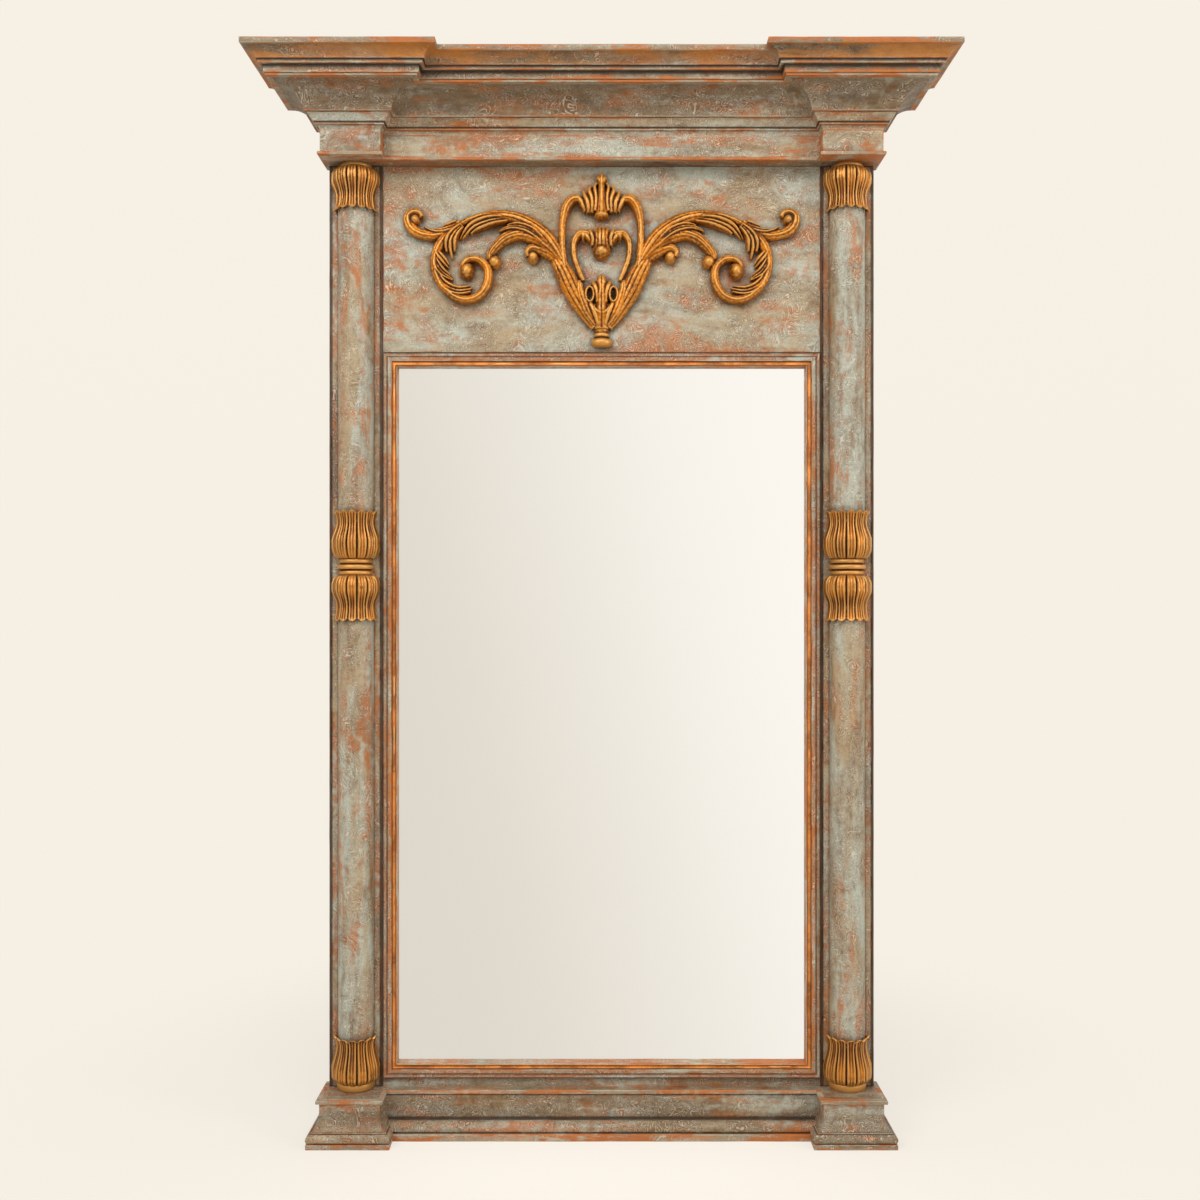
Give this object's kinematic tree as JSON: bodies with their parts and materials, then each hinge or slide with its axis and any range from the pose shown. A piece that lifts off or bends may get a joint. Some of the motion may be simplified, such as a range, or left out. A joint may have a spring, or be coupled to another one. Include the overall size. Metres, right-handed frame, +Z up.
{
  "type": "trumeau mirror",
  "caption": "Tall standing mirror in a painted wood frame with half-round columns, a breakfront cornice, plinth blocks and a gilt carved scroll crest.",
  "frame": {"origin": "on the floor, in the wall plane, on the centre line: the back lower edge's midpoint", "axes": "+Z up, +Y into the wall, +X to the right seen from the front, front faces -Y"},
  "size_m": [1.277, 0.2015, 2],
  "materials": {
    "painted_wood": "distressed grey-green paint over a red ground, waxed",
    "gilt_wood": "aged gilding with brown glaze in the hollows",
    "bare_wood": "unfinished",
    "mirror": "silvered behind clear glass",
    "steel": "zinc plated"
  },
  "bodies": {
    "root": {"crest_panel": "painted_wood", "bottom_rail": "painted_wood", "soffit_board": "painted_wood", "frieze_left": "painted_wood", "frieze_right": "painted_wood", "frieze_centre": "painted_wood", "bed_mould_left": "painted_wood", "bed_mould_right": "painted_wood", "bed_mould_centre": "painted_wood", "cove_mould_left": "painted_wood", "cove_mould_right": "painted_wood", "cove_mould_centre": "painted_wood", "crown_mould_left": "painted_wood", "crown_mould_right": "painted_wood", "crown_mould_centre": "painted_wood", "plinth_cap_left": "painted_wood", "plinth_die_left": "painted_wood", "plinth_foot_left": "painted_wood", "plinth_cap_right": "painted_wood", "plinth_die_right": "painted_wood", "plinth_foot_right": "painted_wood", "base_rail": "painted_wood", "sight_frame_top": "painted_wood", "sight_frame_bottom": "painted_wood", "sight_frame_left": "painted_wood", "sight_frame_right": "painted_wood", "left_stile": "painted_wood", "right_stile": "painted_wood", "column_shaft_lower_left": "painted_wood", "column_shaft_upper_left": "painted_wood", "column_shaft_lower_right": "painted_wood", "column_shaft_upper_right": "painted_wood", "gilt_bead_top": "gilt_wood", "gilt_bead_bottom": "gilt_wood", "gilt_bead_left": "gilt_wood", "gilt_bead_right": "gilt_wood", "base_tulip_left": "gilt_wood", "base_tulip_right": "gilt_wood", "mid_tulip_upper_left": "gilt_wood", "mid_tulip_upper_right": "gilt_wood", "mid_tulip_lower_left": "gilt_wood", "mid_tulip_lower_right": "gilt_wood", "capital_tulip_left": "gilt_wood", "capital_tulip_right": "gilt_wood", "mid_collar_left": "gilt_wood", "mid_collar_right": "gilt_wood", "crest_finial": "gilt_wood", "crest_cartouche": "gilt_wood", "crest_lower_leaf": "gilt_wood", "crest_top_shell": "gilt_wood", "crest_mid_shell": "gilt_wood", "crest_wing_left": "gilt_wood", "crest_wing_right": "gilt_wood", "dust_board": "bare_wood", "back_board": "bare_wood", "glazing_blocks": "bare_wood", "fixing_screws": "steel", "hanger_plates": "steel", "mirror_glass": "mirror"}
  },
  "joints": []
}
